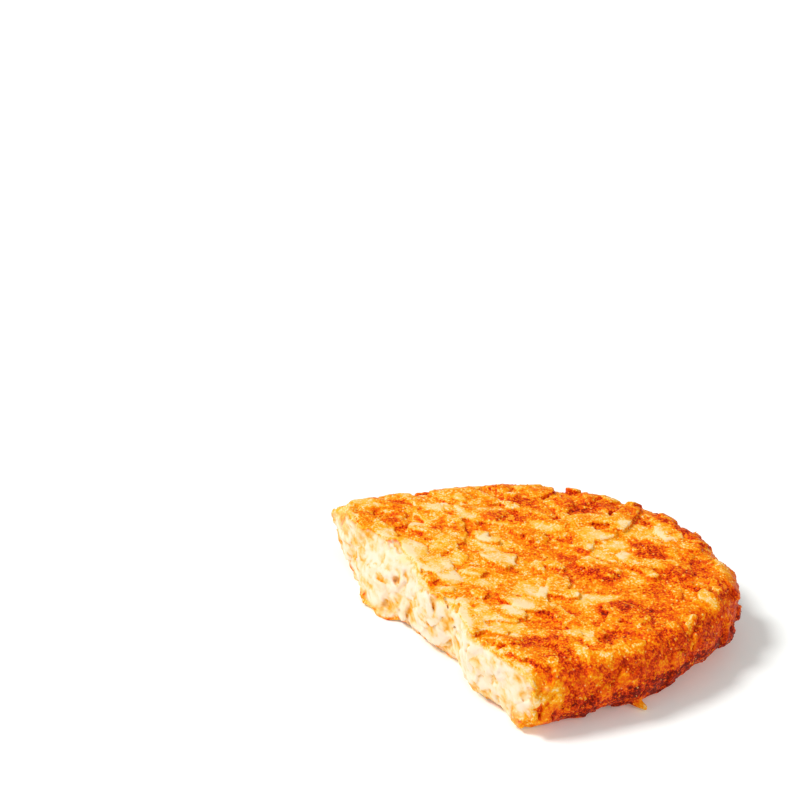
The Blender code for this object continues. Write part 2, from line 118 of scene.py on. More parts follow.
def slab(x, y, z):
    """How far a point is outside (+) or inside (-) the pressed oval patty, before its shreds are added."""
    angle, r = np.arctan2(y, x), np.hypot(x, y)
    edge = outline_radius(angle)
    slope = (outline_radius(angle + 0.02) - outline_radius(angle - 0.02)) / 0.04
    side = (r - edge) / np.sqrt(1 + (slope / edge) ** 2)
    half = THICKNESS / 2
    swell = 0.45 * noise(x / 17, y / 17, z * 0 + 3.3, 5) + 0.30 * noise(x / 7.5, y / 7.5, z / 11, 6)
    turn_in = np.where(z > half, RIM_TOP, RIM_UNDER).astype(x.dtype)
    q = np.maximum((side + turn_in) / turn_in, 0) + 1e-6
    w = np.abs(z - half) / half + 1e-6
    g = (q ** RIM_SHAPE + w ** RIM_SHAPE) ** (1 / RIM_SHAPE)
    steep = np.sqrt(((q / g) ** (RIM_SHAPE - 1) / turn_in) ** 2 + ((w / g) ** (RIM_SHAPE - 1) / half) ** 2)
    return (g - 1) / np.maximum(steep, 0.1) - swell


def surface_point(angle, share, side):
    """A point of the smooth patty and the way out there. share 0 is the middle of the top, 1 the outline; side is 1 on top and -1 below, and share over 1 goes down the rim."""
    edge = outline_radius(angle)
    slope = (outline_radius(angle + 0.02) - outline_radius(angle - 0.02)) / 0.04
    out = np.array([np.cos(angle), np.sin(angle)]) - np.array([-np.sin(angle), np.cos(angle)]) * slope / edge
    out = out / np.hypot(*out)
    half, turn_in = THICKNESS / 2, RIM_TOP if side > 0 else RIM_UNDER
    if share <= 1:
        r = share * (edge - turn_in)
        return np.array([r * np.cos(angle), r * np.sin(angle), half + side * half]), np.array([0, 0, side])
    t = (share - 1) * np.pi / 2 * side           # 0 at the widest line, pi/2 on the flat
    c, s = np.cos(t), np.sin(t)
    base = (edge - turn_in) * np.array([np.cos(angle), np.sin(angle)])
    return (np.array([base[0] + out[0] * turn_in * c, base[1] + out[1] * turn_in * c, half + half * s]),
            np.array([out[0] * c, out[1] * c, s]))


def skin_shreds():
    """The potato shreds pressed into the outside: centre, long way, cross way, half length, half width, lift, tilts and tone."""
    rng = np.random.default_rng(41)
    made = []
    for kind, count in (("top", TOP_SHREDS), ("under", UNDER_SHREDS), ("rim", RIM_SHREDS)):
        for i in range(count):
            angle = rng.uniform(-np.pi, np.pi)
            if kind == "rim":
                up = rng.uniform(-0.95, 0.95)
                at, out = surface_point(angle, 1 + abs(up), 1 if up >= 0 else -1)
                along = np.array([-out[1], out[0], 0.0])
                along /= np.linalg.norm(along)
                turn = rng.normal(0.0, 0.55) + (np.pi / 2 if rng.random() < 0.55 else 0)
                size = rng.uniform(1.4, 3.4), rng.uniform(0.8, 1.6)
                lift = rng.normal(0.06, 0.11 if up > 0 else 0.18)
            else:
                side = 1 if kind == "top" else -1
                # even over the oval, not crowded in the middle
                share = np.sqrt(rng.random()) * 1.08
                at, out = surface_point(angle, min(share, 1.0), side)
                if share > 1:
                    at[:2] *= share
                along = np.array([1.0, 0.0, 0.0])
                turn = rng.normal(SHRED_SLANT, 0.6)
                big = rng.random() < 0.42
                size = (rng.uniform(2.6, 5.2), rng.uniform(1.3, 2.5)) if big else (rng.uniform(1.1, 2.6), rng.uniform(0.7, 1.4))
                lift = rng.normal(0.04, 0.13) if big else rng.normal(0.08, 0.12)
            across = np.cross(out, along)
            u = along * np.cos(turn) + across * np.sin(turn)
            v = np.cross(out, u)
            row = (at, u, v, size[0], size[1], lift, rng.normal(0, 0.035), rng.normal(0, 0.08), rng.random(), rng.uniform(-0.05, 0.05))
            # only what lies on the kept half, or near its break
            if at[:2] @ BREAK_N > -7:
                made.append(row)
    return made


def lay_shreds(shreds, x, y, z, depth, value, pick):
    """Adds each shred to value, the distance to the outside. It also gives the distance to the nearest shred and that one's tone. pick gives the points in a box."""
    best = np.full(value.shape, 3.0, value.dtype)
    tone = np.full(value.shape, 0.5, value.dtype)
    for at, u, v, length, width, lift, tilt_u, tilt_v, shade, bend in shreds:
        near = pick(at, np.abs(u) * length + np.abs(v) * width + np.abs(np.cross(u, v)) * 2.0 + 1.3)
        px, py, pz = x[near] - at[0], y[near] - at[1], z[near] - at[2]
        a = px * u[0] + py * u[1] + pz * u[2]
        b = px * v[0] + py * v[1] + pz * v[2] + bend * a * a
        h = depth[near] - (lift + tilt_u * a + tilt_v * b)
        taper = 1 - 0.25 * (a / length) ** 2
        qa, qb, qh = np.abs(a) - length + 0.3, np.abs(b) - width * taper + 0.3, np.abs(h + 1.1) - 1.1 + 0.3
        d = np.sqrt(np.maximum(qa, 0) ** 2 + np.maximum(qb, 0) ** 2 + np.maximum(qh, 0) ** 2)
        d = d + np.minimum(np.maximum(np.maximum(qa, qb), qh), 0) - 0.3
        value[near] = smooth_min(value[near], d, SHRED_BLEND)
        won = d < best[near]
        part = best[near]
        part[won] = d[won]
        best[near] = part
        part = tone[near]
        part[won] = shade
        tone[near] = part
    return value, tone, best


def bent(x, y, z):
    """Points shifted by a gentle wander, so that no shred is straight."""
    out = []
    for i, p in enumerate((x, y, z)):
        out.append(p + 0.9 * noise(x / 5.5, y / 5.5, z / 5.5, 11 + i) + 0.28 * noise(x / 1.7, y / 1.7, z / 1.7, 21 + i))
    return out


def outside(x, y, z, pick):
    """Distance to the whole patty's outside with its shreds, then the tone of the nearest shred, the distance to it, and the distance to the smooth patty."""
    depth = slab(x, y, z)
    bx, by, bz = bent(x, y, z)
    value, tone, best = lay_shreds(skin_shreds(), bx, by, bz, depth, depth + CORE_INSET, pick)
    for start, tip, wide, narrow in SPURS:
        start, tip = np.array(start), np.array(tip)
        near = pick((start + tip) / 2, np.full(3, 4.5))
        px, py, pz = bx[near] - start[0], by[near] - start[1], bz[near] - start[2]
        way = tip - start
        t = np.clip((px * way[0] + py * way[1] + pz * way[2]) / (way @ way), 0, 1)
        d = np.sqrt((px - t * way[0]) ** 2 + (py - t * way[1]) ** 2 + (pz - t * way[2]) ** 2) - wide + t * (wide - narrow)
        value[near] = smooth_min(value[near], d, 0.5)
    for gx, gy, gz, rx, ry, rz in GOUGES:
        near = pick(np.array([gx, gy, gz]), np.array([rx, ry, rz]) + 1.5)
        k = np.sqrt(((bx[near] - gx) / rx) ** 2 + ((by[near] - gy) / ry) ** 2 + ((bz[near] - gz) / rz) ** 2)
        value[near] = -smooth_min(-value[near], (k - 1) * min(rx, ry, rz), 0.8)
    return value, tone, best, depth


def break_at(m, z):
    """Where the break lies, along BREAK_N, at m along it and at height z."""
    h = np.clip(z / THICKNESS, 0, 1)
    edge = (1 - h) * waves(m, BREAK_BOTTOM_WAVES) + h * waves(m, BREAK_TOP_WAVES)
    foot = FOOT[2] * np.exp(-((m - FOOT[0]) / FOOT[1]) ** 2) * np.clip((4.2 - z) / 3.0, 0, 1)
    cut = CORNER_CUT * np.clip((m - 25.0) / 3.0, 0, 1) * np.clip((z - 8.5) / 3.5, 0, 1)
    return edge - BREAK_BULGE * (1 - (2 * h - 1) ** 2) - foot + cut


def swells(x, y, z):
    """How far the torn mash lies back (+) or swells out (-)."""
    return 0.95 * noise(x / 6.5, y / 6.5, z / 5.5, 30) + 0.12 * noise(x / 3.0, y / 3.0, z / 2.6, 31)


def broken(x, y, z, pick):
    """Distance to the torn inside: mash, shreds that stick out of it and hollows. It also gives how deep in a hollow a point is, and the shreds' tone."""
    n, m = x * BREAK_N[0] + y * BREAK_N[1], x * BREAK_M[0] + y * BREAK_M[1]
    bx, by, bz = (0.5 * (p + q) for p, q in zip((x, y, z), bent(x, y, z)))
    face = break_at(m, z) - n
    value = face - 0.06 + swells(x, y, z) - 0.5 * np.exp(-((m + 29.0) / 2.6) ** 2)
    tone = np.full(x.shape, 0.5, x.dtype)
    best = np.full(x.shape, 9.0, x.dtype)
    rng = np.random.default_rng(77)
    for i in range(BREAK_SHREDS):
        along, high = rng.uniform(-34, 35), rng.uniform(0.3, THICKNESS - 0.3)
        behind = rng.uniform(-0.3, 0.35)
        base = float(break_at(np.array(along), np.array(high)))
        middle = BREAK_M * along + BREAK_N * base
        behind += float(swells(*np.array([[middle[0]], [middle[1]], [high]]))[0])
        out = rng.uniform(0.30, 0.60)                    # half the plate's thickness
        turn, yaw, pitch = rng.normal(0.5, 0.7), rng.normal(0, 0.20), rng.normal(0.04, 0.20)
        # w is the way that the plate faces, u its long way
        w = np.array([-BREAK_N[0], -BREAK_N[1], 0]) + yaw * np.array([BREAK_M[0], BREAK_M[1], 0]) + np.array([0, 0, pitch])
        w /= np.linalg.norm(w)
        u = np.array([BREAK_M[0] * np.cos(turn), BREAK_M[1] * np.cos(turn), -np.sin(turn)])
        u -= w * (u @ w)
        u /= np.linalg.norm(u)
        v = np.cross(w, u)
        flat = BREAK_M * along + BREAK_N * (base + behind)
        at = np.array([flat[0], flat[1], high]) - w * out
        size = rng.uniform(2.0, 4.8), rng.uniform(1.3, 3.1), out
        near = pick(at, np.abs(u) * size[0] + np.abs(v) * size[1] + np.abs(w) * size[2] + 1.3)
        px, py, pz = bx[near] - at[0], by[near] - at[1], bz[near] - at[2]
        q = [np.abs(px * e[0] + py * e[1] + pz * e[2]) - s + 0.25 for e, s in zip((u, v, w), size)]
        d = np.sqrt(sum(np.maximum(k, 0) ** 2 for k in q)) + np.minimum(np.maximum(np.maximum(q[0], q[1]), q[2]), 0) - 0.25
        value[near] = smooth_min(value[near], d, 0.18)
        won = d < best[near]
        shade = rng.random()
        part = best[near]
        part[won] = d[won]
        best[near] = part
        part = tone[near]
        part[won] = shade
        tone[near] = part
    # no shred sticks out far: it has snapped off there
    limit = face - BREAK_PROUD - 0.5 * noise(x / 2.6, y / 2.6, z / 2.6, 33)
    value = -smooth_min(-value, -limit, 0.5)
    pit_shade = np.zeros(x.shape, x.dtype)
    rows = [(*row, rng.uniform(0.40, 0.55)) for row in TORN_HOLLOWS]
    rows += [(rng.uniform(-31, 32), rng.uniform(2.2, THICKNESS - 2.2), rng.uniform(0.9, 2.4), rng.uniform(0.6, 1.2), rng.uniform(0.4, 0.6)) for i in range(HOLLOWS)]
    for along, high, long_way, tall, deep in rows:
        base = float(break_at(np.array(along), np.array(high)))
        flat = BREAK_M * along + BREAK_N * (base - 0.2)
        reach = long_way, deep, tall
        near = pick(np.array([flat[0], flat[1], high]), np.full(3, max(reach) + 1.5))
        dx, dy, dz = bx[near] - flat[0], by[near] - flat[1], bz[near] - high
        dn, dm = dx * BREAK_N[0] + dy * BREAK_N[1], dx * BREAK_M[0] + dy * BREAK_M[1]
        k = (np.abs(dm / reach[0]) ** 3 + np.abs(dn / reach[1]) ** 3 + np.abs(dz / reach[2]) ** 3) ** (1 / 3)
        d = (k - 1) * min(reach)
        value[near] = -smooth_min(-value[near], d, 0.35)
        pit_shade[near] = np.maximum(pit_shade[near], np.clip(-d + 0.35, 0, 1.2))
    # the crust's own edge is thin and lies proud of the mash, above and below
    lip = face - 0.25 - 2.0 * noise(m / 4.4, z / 9, m * 0 + 0.5, 35) - 0.9 * noise(m / 1.7, z / 5, m * 0, 36)
    upper = THICKNESS - 1.5 + 1.1 * noise(m / 3.2, m * 0 + 4.5, m * 0, 37)
    share = np.clip((1.5 - z) / 0.8, 0, 1) + 0.75 * np.clip((z - upper) / 0.8, 0, 1)
    value = value * (1 - share) + np.minimum(lip, value + 0.4) * share
    return value, tone, face, pit_shade


# ---- The fine crust ------------------------------------------------------------
CENTRE_X, CENTRE_Y = 22.05, 0.517   # middle of the half's box, from the whole patty's middle
STEP = 0.25                        # the lattice that the surface is drawn on
TRIANGLES = 190000                 # of the finished surface
GRAINS = 3000                      # crisp grains on the crust
# Where the crust is pale or toasted: x, y, half length, half width, way, change
PATCHES = (
    (32.8, 4.7, 5.2, 3.4, -0.9, -0.30), (16.6, -5.5, 3.0, 3.6, -0.7, -0.26), (27.0, -10.9, 3.8, 1.7, -0.25, -0.34),
    (3.2, 2.6, 3.4, 2.2, -0.9, -0.22), (43.7, -13.8, 4.0, 1.8, -0.9, -0.24), (31.1, 9.4, 3.6, 1.5, -0.7, -0.16),
    (40.0, 8.2, 4.8, 2.2, -0.6, -0.30), (35.0, -5.0, 4.0, 1.9, -0.5, -0.20), (15.2, 3.5, 4.6, 1.5, -0.5, -0.20),
    (13.8, 9.6, 3.0, 2.0, -0.7, -0.24), (9.0, -16.5, 3.4, 2.6, -0.4, -0.26), (13.0, -11.0, 3.0, 2.4, -0.6, -0.22),
    (7.6, -0.5, 3.0, 1.6, -0.7, -0.16), (40.4, -21.5, 3.6, 2.2, -1.2, -0.14), (20.5, -21.0, 3.4, 2.0, -0.9, -0.16),
    (23.5, 13.0, 3.8, 1.4, -0.5, -0.16), (8.0, 22.0, 3.2, 1.4, -0.3, -0.16), (45.0, 3.0, 3.0, 1.8, -0.9, -0.16),
    (39.2, 1.4, 3.4, 2.3, -0.5, 0.40), (29.6, -3.4, 3.8, 1.9, -0.4, 0.40), (31.8, -14.6, 4.6, 2.4, -0.4, 0.30),
    (37.4, -10.4, 3.0, 1.6, -0.7, 0.22), (25.8, -23.6, 3.4, 1.6, -0.6, 0.28), (22.8, 21.4, 3.0, 1.6, -0.3, 0.28),
    (12.6, -21.6, 6.4, 1.6, -0.15, 0.30), (46.5, 8.5, 3.4, 1.4, -0.9, 0.34), (43.6, -6.0, 3.2, 1.3, -0.5, 0.24),
    (25.8, 2.0, 3.0, 1.2, -0.6, 0.20), (10.0, 14.5, 4.2, 1.4, -0.2, 0.18), (18.6, 17.0, 4.6, 1.6, -0.3, 0.20),
    (33.5, 17.8, 4.8, 1.8, -0.4, 0.24), (1.5, 24.5, 3.6, 2.2, -0.2, 0.16), (16.0, -27.5, 5.0, 1.8, -0.3, 0.18),
    (36.0, -24.0, 3.0, 2.0, -0.9, 0.22), (48.0, -10.0, 2.4, 2.0, -1.2, 0.16), (21.0, 8.5, 3.0, 1.3, -0.8, 0.16),
    (1.6, -0.2, 2.4, 1.2, -0.9, 0.24), (-3.4, 21.4, 3.2, 2.0, -0.5, 0.12),
)


def smooth(x, low, high):
    t = np.clip((x - low) / (high - low), 0, 1)
    return t * t * (3 - 2 * t)


def patches(x, y, sign):
    """How much paler (-) or browner (+) the crust is at a point of its top."""
    wx = x + 0.9 * noise(x / 2.6, y / 2.6, x * 0 + 1.5, 61) + 0.4 * noise(x / 0.9, y / 0.9, x * 0, 62)
    wy = y + 0.9 * noise(x / 2.6, y / 2.6, x * 0 + 7.5, 63) + 0.4 * noise(x / 0.9, y / 0.9, x * 0, 64)
    total = np.zeros_like(x)
    for px, py, long_way, wide, way, change in PATCHES:
        if sign * change <= 0:
            continue
        a = (wx - px) * np.cos(way) + (wy - py) * np.sin(way)
        b = (wy - py) * np.cos(way) - (wx - px) * np.sin(way)
        edge = 0.22 if change < 0 else 0.55
        r = np.sqrt((a / long_way) ** 2 + (b / wide) ** 2)
        total = np.maximum(total, abs(change) * smooth(r, 1 + edge, 1 - edge))
    return sign * total


def crumb(x, y, z, depth, pale):
    """Height of the fried crumb on the outside: small rounded grains with sharp creases between them."""
    side = smooth(np.abs(z - THICKNESS / 2), 5.6, 3.6)     # 1 round the rim
    lump = np.abs(noise(x / 3.0, y / 3.0, z / 3.6, 71)) - 0.22
    grain = np.abs(noise(x / 1.25, y / 1.25, z / 1.25, 72)) - 0.22
    fine = np.abs(noise(x / 0.62, y / 0.62, z / 0.62, 73)) - 0.22
    rough = 0.65 + 0.6 * noise(x / 4.4, y / 4.4, z / 4.4, 74) + 0.5 * side
    rough = np.clip(rough, 0.25, 1.4) * (1 - 0.85 * pale) * (1 - 0.35 * side)
    return (0.20 + 0.60 * side) * lump * 0.9 + rough * (0.40 * grain + 0.24 * fine)


def hash_brown(x, y, z, pick):
    """Distance to the half's fine surface, and what its colours follow."""
    outer, tone, best, depth = outside(x, y, z, pick)
    inner, inner_tone, face, pit_shade = broken(x, y, z, pick)
    pale = smooth(-patches(x, y, -1), 0.05, 0.2) * smooth(z, 9.5, 11.5)
    near = np.abs(outer) < 1.3
    grain = np.zeros_like(x)
    grain[near] = crumb(x[near], y[near], z[near], depth[near], pale[near])
    outer = outer - grain
    near = np.abs(inner) < 0.8
    fibre = np.zeros_like(x)
    fibre[near] = 0.15 * noise(x[near] / 0.9, y[near] / 0.9, z[near] / 1.4, 81) + 0.07 * noise(x[near] / 0.45, y[near] / 0.45, z[near] / 0.6, 82)
    inner = inner - fibre
    value = np.maximum(np.maximum(outer, inner), 0.02 - z)
    return value, outer, inner, tone, best, depth, inner_tone, pit_shade, grain


def lattice_surface():
    """The fine surface as corners and four-sided faces, drawn through a lattice of distances."""
    low, high = np.array([-12.0, -34.5, -0.6]), np.array([56.0, 35.5, 14.9])
    count = (np.ceil((high - low) / STEP / 2).astype(int) + 1) * 2
    axes = [low[i] + STEP * np.arange(count[i]) for i in range(3)]
    # first the lattice at twice the step, to find where the surface can be
    x, y, z = np.meshgrid(*[(a[::2] + STEP / 2).astype(np.float32) for a in axes], indexing="ij")
    m, n = x * BREAK_M[0] + y * BREAK_M[1], x * BREAK_N[0] + y * BREAK_N[1]
    crust, tear = slab(x, y, z), break_at(m, z) - n
    out = (crust > 1.9) | (tear > 2.4) | (z < -0.35)
    deep = (crust < -2.1) & (tear < -3.6) & (z > 0.5)
    out, deep = (np.repeat(np.repeat(np.repeat(a, 2, 0), 2, 1), 2, 2) for a in (out, deep))
    value = np.where(deep, -1.0, 1.0).astype(np.float32)
    band = ~(out | deep)
    index = np.full(band.shape, -1, np.int32)
    index[band] = np.arange(np.count_nonzero(band), dtype=np.int32)
    i, j, k = np.nonzero(band)
    x, y, z = (axes[a][p].astype(np.float32) for a, p in enumerate((i, j, k)))

    def pick(at, reach):
        box = tuple(slice(max(0, int((at[a] - reach[a] - low[a]) / STEP)), max(0, int((at[a] + reach[a] - low[a]) / STEP) + 2)) for a in range(3))
        found = index[box].ravel()
        return found[found >= 0]

    value[band] = hash_brown(x, y, z, pick)[0]
    return surface_net(value, low)


def surface_net(value, low):
    """One corner in each lattice cell that the surface crosses, and a face round each crossed edge."""
    solid = value < 0
    shape = np.array(value.shape)
    filled = np.zeros(shape - 1, np.uint8)
    for i in (0, 1):
        for j in (0, 1):
            for k in (0, 1):
                filled += solid[i:shape[0] - 1 + i, j:shape[1] - 1 + j, k:shape[2] - 1 + k]
    crossed = (filled > 0) & (filled < 8)
    cells = np.argwhere(crossed)
    number = np.full(crossed.shape, -1, np.int64)
    number[crossed] = np.arange(len(cells))
    corner = np.array([[i, j, k] for i in (0, 1) for j in (0, 1) for k in (0, 1)])
    held = [value[cells[:, 0] + i, cells[:, 1] + j, cells[:, 2] + k] for i, j, k in corner]
    spot, hits = np.zeros((len(cells), 3)), np.zeros(len(cells))
    for a in range(8):
        for b in range(a + 1, 8):
            way = corner[b] - corner[a]
            if np.abs(way).sum() == 1:
                cross = (held[a] < 0) != (held[b] < 0)
                share = np.where(cross, held[a] / np.where(cross, held[a] - held[b], 1), 0)
                spot += np.where(cross[:, None], corner[a] + share[:, None] * way, 0)
                hits += cross
    spot = spot / hits[:, None] + cells
    faces = []
    for axis in range(3):
        here, there = [slice(None)] * 3, [slice(None)] * 3
        here[axis], there[axis] = slice(0, -1), slice(1, None)
        edge = np.argwhere(solid[tuple(here)] != solid[tuple(there)])
        p, q = [a for a in range(3) if a != axis]
        edge = edge[(edge[:, p] > 0) & (edge[:, q] > 0) & (edge[:, p] < shape[p] - 1) & (edge[:, q] < shape[q] - 1)]
        ring = []
        for dp, dq in ((0, 0), (1, 0), (1, 1), (0, 1)):
            cell = edge.copy()
            cell[:, p] -= dp
            cell[:, q] -= dq
            ring.append(number[tuple(cell.T)])
        ring = np.stack(ring, 1)
        outward = solid[tuple(edge.T)] if axis != 1 else ~solid[tuple(edge.T)]
        ring[~outward] = ring[~outward][:, ::-1]
        faces.append(ring)
    faces = np.concatenate(faces)
    # keep the one large body, without crumbs afloat or bubbles sealed inside
    label = np.arange(len(spot))
    sides = np.concatenate([faces[:, [0, 1]], faces[:, [1, 2]], faces[:, [2, 3]]])
    while True:
        before = label.copy()
        least = np.minimum(label[sides[:, 0]], label[sides[:, 1]])
        np.minimum.at(label, sides[:, 0], least)
        np.minimum.at(label, sides[:, 1], least)
        label = label[label]
        if np.array_equal(before, label):
            break
    main = np.bincount(label).argmax()
    keep = label == main
    renumber = np.cumsum(keep) - 1
    faces = renumber[faces[keep[faces[:, 0]]]]
    return spot[keep] * STEP + low, faces


def box_pick(points):
    """pick for a plain list of points, sorted into slices along X."""
    order = np.argsort(points[:, 0])
    sorted_x = points[order, 0]

    def pick(at, reach):
        a, b = np.searchsorted(sorted_x, (at[0] - reach[0], at[0] + reach[0]))
        some = order[a:b]
        return some[(np.abs(points[some, 1] - at[1]) < reach[1]) & (np.abs(points[some, 2] - at[2]) < reach[2])]

    return pick


def add_attribute(mesh, name, values):
    mesh.attributes.new(name, "FLOAT", "POINT").data.foreach_set("value", values.astype(np.float32))


def dents(mesh, spots):
    """How far each corner lies below (+) or above (-) the smoothed surface round it, in millimetres, and how far up it faces."""
    ends = np.empty(len(mesh.edges) * 2, np.int32)
    mesh.edges.foreach_get("vertices", ends)
    a, b = ends.reshape(-1, 2).T
    count = len(spots)
    degree = np.maximum(np.bincount(a, minlength=count) + np.bincount(b, minlength=count), 1)[:, None]
    even = spots.astype(float)
    for _ in range(8):
        around = np.stack([np.bincount(a, even[b, i], count) + np.bincount(b, even[a, i], count) for i in range(3)], 1)
        even = 0.3 * even + 0.7 * around / degree
    facing = np.empty(count * 3, np.float32)
    mesh.vertex_normals.foreach_get("vector", facing)
    dent = ((even - spots) * facing.reshape(-1, 3)).sum(1)
    for _ in range(1):
        dent = 0.5 * dent + 0.5 * (np.bincount(a, dent[b], count) + np.bincount(b, dent[a], count)) / degree[:, 0]
    return dent, facing.reshape(-1, 3)[:, 2]


def hash_brown_piece():
    corners, faces = lattice_surface()
    mesh = bpy.data.meshes.new("hash_brown")
    mesh.vertices.add(len(corners))
    mesh.vertices.foreach_set("co", (corners * MM).astype(np.float32).ravel())
    mesh.loops.add(faces.size)
    mesh.loops.foreach_set("vertex_index", faces.astype(np.int32).ravel())
    mesh.polygons.add(len(faces))
    mesh.polygons.foreach_set("loop_start", np.arange(0, faces.size, 4, dtype=np.int32))
    mesh.update(calc_edges=True)
    mesh.validate()
    piece = bpy.data.objects.new("hash_brown", mesh)
    bpy.context.scene.collection.objects.link(piece)
    fewer = piece.modifiers.new("Fewer", "DECIMATE")
    fewer.ratio = TRIANGLES / (2 * len(faces))
    bpy.context.view_layer.update()
    made = bpy.data.meshes.new_from_object(piece.evaluated_get(bpy.context.evaluated_depsgraph_get()))
    piece.modifiers.clear()
    piece.data = mesh = made
    spots = np.empty(len(mesh.vertices) * 3, np.float32)
    mesh.vertices.foreach_get("co", spots)
    spots = spots.reshape(-1, 3) / MM
    x, y, z = (np.ascontiguousarray(spots[:, i]) for i in range(3))
    _, outer, inner, tone, best, depth, inner_tone, pit_shade, grain = hash_brown(x, y, z, box_pick(spots))
    dent, upward = dents(mesh, spots)

    # how much of the torn inside shows
    ragged = 0.7 * noise(x / 4.5, y / 4.5, z / 4.5, 90) + 0.4 * noise(x / 1.6, y / 1.6, z / 1.6, 91) + 0.2 * noise(x / 0.6, y / 0.6, z / 0.6, 92)
    inside = smooth(-outer + ragged, 0.30, 0.95)
    along = x * BREAK_M[0] + y * BREAK_M[1]
    inside *= smooth(x * BREAK_N[0] + y * BREAK_N[1] - break_at(along, z), 6.0, 3.5)   # elsewhere the crust is whole
    # the far end of the break and the foot at its near end are crusted over
    inside *= 1 - 0.85 * np.maximum(smooth(along, 24.0, 27.0) * smooth(z, 7.5, 9.5), smooth(along, -27.0, -28.6) * smooth(z, 4.6, 3.0))
    # browning of the crust, 0 pale to 1 dark, in streaks along the shreds, with painted shade added in the creases, on
    # the shreds' steep walls and at the rim's bottom and front
    n, m = x * BREAK_N[0] + y * BREAK_N[1], x * BREAK_M[0] + y * BREAK_M[1]
    a, b = x * np.cos(SHRED_SLANT) + y * np.sin(SHRED_SLANT), y * np.cos(SHRED_SLANT) - x * np.sin(SHRED_SLANT)
    half = THICKNESS / 2
    top, lower = smooth(z, 8.5, 11.0), smooth(z, 8.5, 2.0)
    inset = outline_radius(np.arctan2(y, x)) - np.hypot(x, y)
    rim = np.where(z > half, smooth(z - half, 6.1, 4.2), smooth(inset, RIM_UNDER + 0.8, RIM_UNDER - 2.0))
    away = n - break_at(m, z)
    laid = smooth(best, 0.20, 0.04)                      # a shred shows here
    streak = noise(a / 4.6, b / 2.3, z / 3.0, 94)
    flake = noise(a / 2.2, b / 1.3, z / 1.6, 99)
    brown = 0.388 + 0.14 * smooth(n, 8, 44) + 0.12 * noise(x / 9, y / 9, z / 9, 93)
    brown += 0.14 * streak + 0.12 * (smooth(streak, -0.10, 0.10) - 0.5) + 0.12 * flake
    brown += laid * np.where(tone < 0.24, -0.15, np.where(tone < 0.5, -0.03, np.where(tone > 0.80, 0.13, 0.0))) * (1 - 0.6 * rim)
    brown += np.clip(1.5 * dent, -0.06, 0.34)           # painted shade: darker in the creases than on the crumb's tops
    brown += 0.24 * smooth(upward, 0.85, 0.45) * smooth(z, 11.2, 12.0)   # painted shade: darker on the steep edges of the shreds
    # the rim is browner; darker again towards its bottom and at the front, which is painted shade
    brown += rim * (0.27 + 0.36 * lower + 0.07 * smooth(y, -10.0, -22.0)) * smooth(away, -2.0, 9.0)
    brown += np.where(z < 2.0, 0.12, 0.0) * (1 - rim)
    brown += 1.1 * patches(x, y, -1) * top + patches(x, y, 1) * top
    brown += 0.13 * smooth(y, -12, -21) * top
    # the crust is thin and pale in lobes along the break
    lobes = 0.9 + 4.2 * noise(x / 4.8, y / 4.8, z / 4.8, 95) + 1.0 * noise(x / 1.5, y / 1.5, z / 1.5, 96)
    brown -= (0.30 * smooth(away, lobes + 0.5, lobes - 0.5) * top + 0.06 * smooth(away, 9.0, 0.5)) * smooth(m, 20.0, 14.0)
    # the down-facing crust lies less deep in browning than the edge, and the spur's tip is golden
    under = smooth(upward, -0.45, -0.85)
    brown -= 0.10 * under * rim * (1 + 3.0 * noise(x / 3.4, y / 3.4, z / 3.4, 101))
    brown = np.where(z > half, np.minimum(brown, 0.80), np.minimum(brown, 0.96 - 0.20 * under))
    brown -= 0.48 * smooth(np.sqrt((x - 30.4) ** 2 + (y + 27.7) ** 2 + (z - 0.9) ** 2), 2.6, 0.9)
    add_attribute(mesh, "brown", brown)
    add_attribute(mesh, "inside", inside)
    add_attribute(mesh, "plain", np.maximum(smooth(0.34 - brown, 0.0, 0.16), 0.55 * rim))
    # painted shade: how deep in a hollow or dent of the surface, which colours the torn mash tan
    add_attribute(mesh, "pit_shade", np.clip(0.6 * pit_shade + np.clip(5.5 * dent, -0.15, 0.85), -0.2, 1))
    add_attribute(mesh, "shred", inner_tone)
    add_attribute(mesh, "low", smooth(z, 3.0, 0.0))
    spots = (spots - (CENTRE_X, CENTRE_Y, 0)) * MM
    mesh.vertices.foreach_set("co", spots.astype(np.float32).ravel())
    mesh.update()
    mesh.shade_smooth()
    return piece


# ---- Finish --------------------------------------------------------------------
def linear(rgb):
    """A colour of 0 to 255 a channel, as the shader wants it."""
    out = []
    for c in rgb:
        c /= 255
        out.append(c / 12.92 if c <= 0.04045 else ((c + 0.055) / 1.055) ** 2.4)
    return (*out, 1.0)


